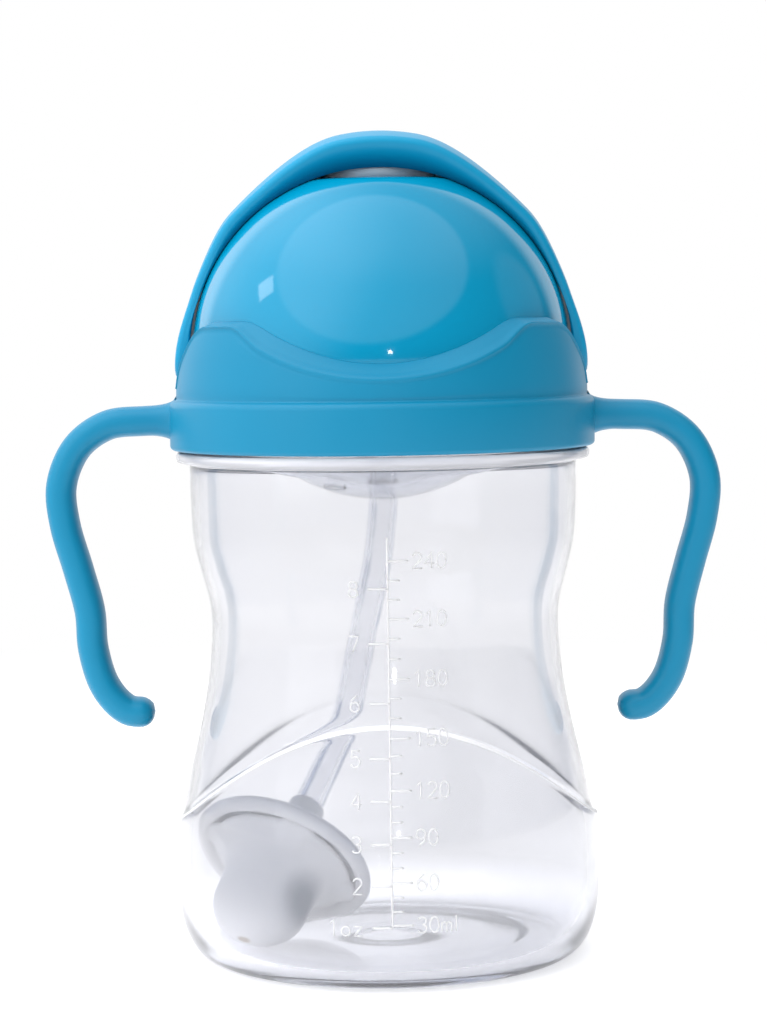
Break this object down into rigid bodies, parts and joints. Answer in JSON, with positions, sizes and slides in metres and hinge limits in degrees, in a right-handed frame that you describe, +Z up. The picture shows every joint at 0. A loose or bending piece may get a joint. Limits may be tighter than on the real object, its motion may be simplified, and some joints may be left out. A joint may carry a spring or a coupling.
{
  "type": "sippy cup",
  "caption": "Clear hourglass toddler cup with a two-handled screw collar, dome lid, flip hood over a folding silicone spout, and a weighted straw inside.",
  "frame": {"origin": "middle of the foot ring, on the surface that the cup stands on", "axes": "+Z up, +X to the right-hand handle, and the front of the cup faces -Y"},
  "size_m": [0.1214, 0.0766, 0.1478],
  "materials": {
    "clear_cup": "clear polypropylene, polished",
    "satin_blue": "satin moulded plastic",
    "gloss_blue": "polished moulded plastic",
    "silicone": "clear soft silicone",
    "weight_plastic": "milky grey plastic",
    "steel": "plain steel"
  },
  "bodies": {
    "cup": {"cup": "clear_cup"},
    "seal": {"rim_seal": "silicone"},
    "lid": {"handle_collar": "satin_blue", "lid_dome": "gloss_blue", "valve_bowl": "silicone", "spout_base": "silicone"},
    "hood": {"flip_hood": "satin_blue"},
    "spout": {"spout": "silicone"},
    "straw": {"straw_tube": "silicone", "weight_cap": "weight_plastic", "weight_bulb": "weight_plastic", "weight_core": "steel"}
  },
  "joints": [
    {"name": "lid_rise", "type": "slide", "parent": "cup", "child": "seal", "axis": [0, 0, 1], "range_m": [0, 0.005]},
    {"name": "lid_turn", "type": "hinge", "parent": "seal", "child": "lid", "pos_m": [0, 0, 0.096], "axis": [0, 0, 1], "range_deg": [0, 450]},
    {"name": "hood_flip", "type": "hinge", "parent": "lid", "child": "hood", "pos_m": [0, 0, 0.1085], "axis": [-1, 0, 0], "range_deg": [0, 70], "deforming": ["spout"]},
    {"name": "spout_rise", "type": "hinge", "parent": "lid", "child": "spout", "pos_m": [0, 0.0078, 0.14305], "axis": [-1, 0, 0], "range_deg": [0, 77]},
    {"name": "straw_swing", "type": "hinge", "parent": "lid", "child": "straw", "pos_m": [0, 0, 0.083], "axis": [0, 0, 1], "continuous": true}
  ],
  "couplings": [
    {"joint": "lid_rise", "follows": "lid_turn", "m_per_rad": 0.00063662},
    {"joint": "spout_rise", "follows": "hood_flip", "ratio": 1.1}
  ]
}
